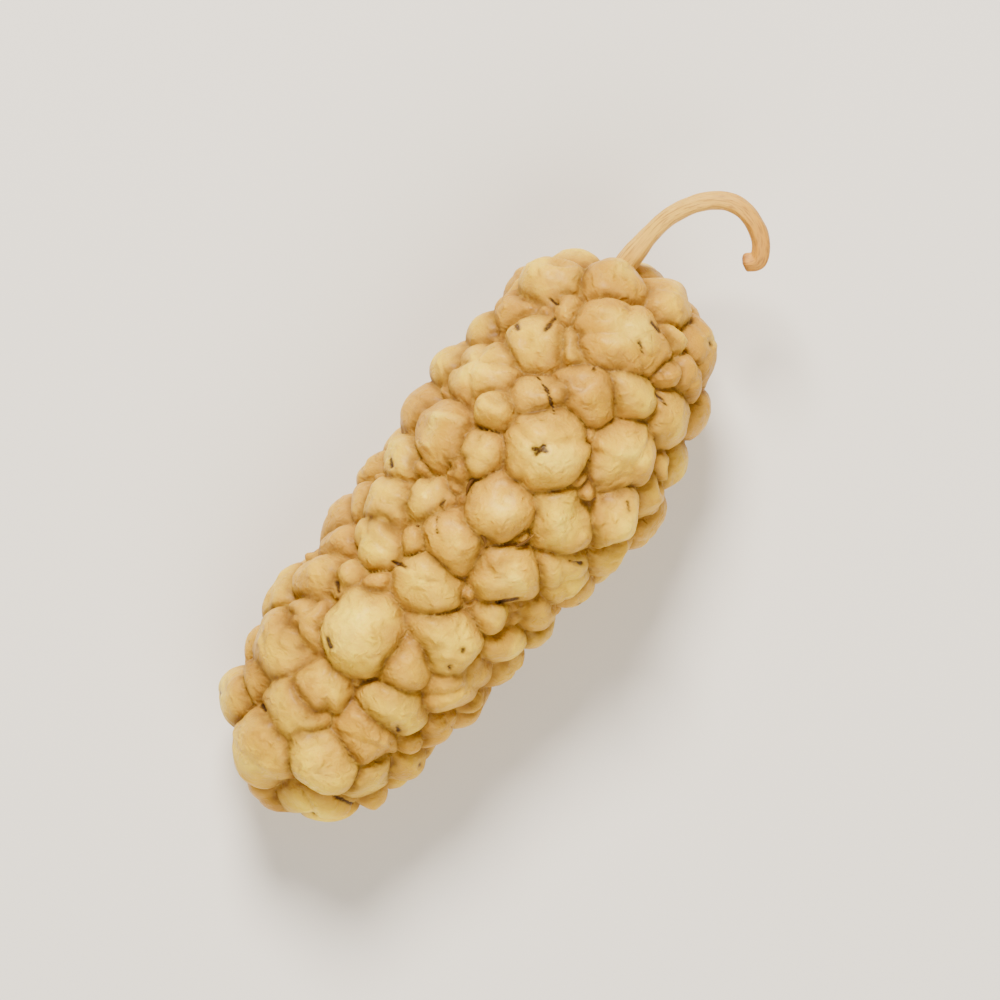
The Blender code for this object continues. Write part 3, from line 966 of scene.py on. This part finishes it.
def smooth_line(line_points, steps):
    """Points of a Catmull-Rom curve through the given ones."""
    ends = [2 * line_points[0] - line_points[1], *line_points, 2 * line_points[-1] - line_points[-2]]
    line = []
    for before, start, end, after in zip(ends, ends[1:], ends[2:], ends[3:]):
        for step in range(steps):
            t = step / steps
            linear_part = (end - before) * t
            square = (2 * before - 5 * start + 4 * end - after) * t**2
            cube = (3 * start - before - 3 * end + after) * t**3
            line.append((2 * start + linear_part + square + cube) / 2)
    return [*line, line_points[-1]]


def stalk_radius(along):
    """The stalk's radius at a share of its length: flared at its root, and thicker at its broken end."""
    flare, flare_end, fading = STALK_FLARE
    thicker, thick_from = STALK_THICK_END
    blunted, blunt_from = STALK_BLUNT_END
    share = STALK_SLIMMEST + flare * math.exp(-((max(along - flare_end, 0) / fading) ** 2))
    share += thicker * max(along - thick_from, 0) / (1 - thick_from)
    blunt = 1 - blunted * (max(along - blunt_from, 0) / (1 - blunt_from)) ** 2
    return STALK_RADIUS * share * math.sqrt(blunt)


stem = np.array([[STATION_X[-1], STATION_Y[-1], 0.0]])
mouth = Vector(placed(on_seat(stem + np.array([STALK_SEAT])))[0])
route = [mouth - STALK_AXIS * STALK_ROOT_DEPTH, mouth, mouth + STALK_AXIS * STALK_STRAIGHT]
line = smooth_line([*route, *(Vector(point) for point in STALK_ROUTE)], STALK_STEPS_A_SPAN)
rough_share, rough_around, rough_along = STALK_ROUGHNESS
bm = bmesh.new()
around_layer = bm.verts.layers.float.new("around")
along_layer = bm.verts.layers.float.new("along")
ring = bmesh.ops.create_circle(bm, cap_ends=False, segments=STALK_SIDES, radius=1.0)["verts"]
angles = [math.atan2(vert.co.y, vert.co.x) for vert in ring]
side = STALK_AXIS.orthogonal().normalized()
length_so_far = 0.0
for number, centre in enumerate(line):
    if number:
        edges = {edge for vert in ring for edge in vert.link_edges if edge.other_vert(vert) in ring}
        made = bmesh.ops.extrude_edge_only(bm, edges=list(edges))["geom"]
        new_ring = {vert for vert in made if isinstance(vert, bmesh.types.BMVert)}
        ring = [
            next(edge.other_vert(old) for edge in old.link_edges if edge.other_vert(old) in new_ring)
            for old in ring
        ]
        length_so_far += (centre - line[number - 1]).length
    ahead = (line[min(number + 1, len(line) - 1)] - line[max(number - 1, 0)]).normalized()
    side = (side - ahead * side.dot(ahead)).normalized()
    upper = ahead.cross(side)
    along = number / (len(line) - 1)
    for vert, angle in zip(ring, angles):
        rib = 1 + STALK_RIB_HEIGHT * math.cos(STALK_RIBS * angle + STALK_TWIST * along)
        on_stalk = Vector((math.cos(angle), math.sin(angle), length_so_far * rough_along))
        rough = 1 + rough_share * noise.noise(on_stalk * rough_around)
        radius = stalk_radius(along) * rib * rough
        vert.co = centre + (side * math.cos(angle) + upper * math.sin(angle)) * radius
        vert[around_layer] = angle / math.tau
        vert[along_layer] = along
torn = bmesh.ops.contextual_create(bm, geom=[e for e in bm.edges if e.is_boundary and e.verts[0] in ring])
bmesh.ops.inset_region(bm, faces=torn["faces"], thickness=STALK_TEAR[0], depth=STALK_TEAR[1])
bmesh.ops.poke(bm, faces=torn["faces"])
root = [edge for edge in bm.edges if edge.is_boundary]
bmesh.ops.contextual_create(bm, geom=root)
bmesh.ops.recalc_face_normals(bm, faces=bm.faces)
for vert in bm.verts:
    vert.co *= 0.001
stalk_mesh = bpy.data.meshes.new("curled_stalk")
bm.to_mesh(stalk_mesh)
bm.free()
stalk_mesh.shade_smooth()
stalk = bpy.data.objects.new("curled_stalk", stalk_mesh)
bpy.context.scene.collection.objects.link(stalk)

# Dried plant fibre: a dull straw-like skin that browns towards the break, streaked along its ribs
stalk_fibre, tree, shader = new_material("dried_stalk_fibre")
along = add_node(tree, "ShaderNodeAttribute", {}, attribute_name="along").outputs["Fac"]
around = add_node(tree, "ShaderNodeAttribute", {}, attribute_name="around").outputs["Fac"]
fibre_place = add_node(
    tree,
    "ShaderNodeCombineXYZ",
    {"X": product(around, STALK_FIBRES[0]), "Y": product(along, STALK_FIBRES[1])},
).outputs[0]
fibre = add_node(
    tree, "ShaderNodeTexNoise", {"Vector": fibre_place, "Scale": STALK_FIBRE_SCALE, "Detail": 4.0}
).outputs["Fac"]
stalk_colour = mixed(ramp(along, 0.3, 0.85), linear(STALK_CREAM), linear(STALK_ORANGE))
stalk_colour = mixed(ramp(fibre, 0.45, 0.7, 0.0, 0.6), stalk_colour, linear(STALK_BROWN))
stalk_colour = mixed(ramp(along, 0.95, 1.0, 0.0, 0.8), stalk_colour, linear(STALK_BROWN))
tree.links.new(stalk_colour, shader.inputs["Base Color"])
shader.inputs["Roughness"].default_value = 0.6
shader.inputs["Subsurface Weight"].default_value = 0.15
shader.inputs["Subsurface Radius"].default_value = (1.0, 0.5, 0.25)
shader.inputs["Subsurface Scale"].default_value = 0.0004
ribs = add_node(tree, "ShaderNodeBump", {"Height": fibre, **STALK_FIBRE_RELIEF}).outputs[0]
tree.links.new(ribs, shader.inputs["Normal"])
stalk_mesh.materials.append(stalk_fibre)
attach(stalk, "root")
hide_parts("stalk")
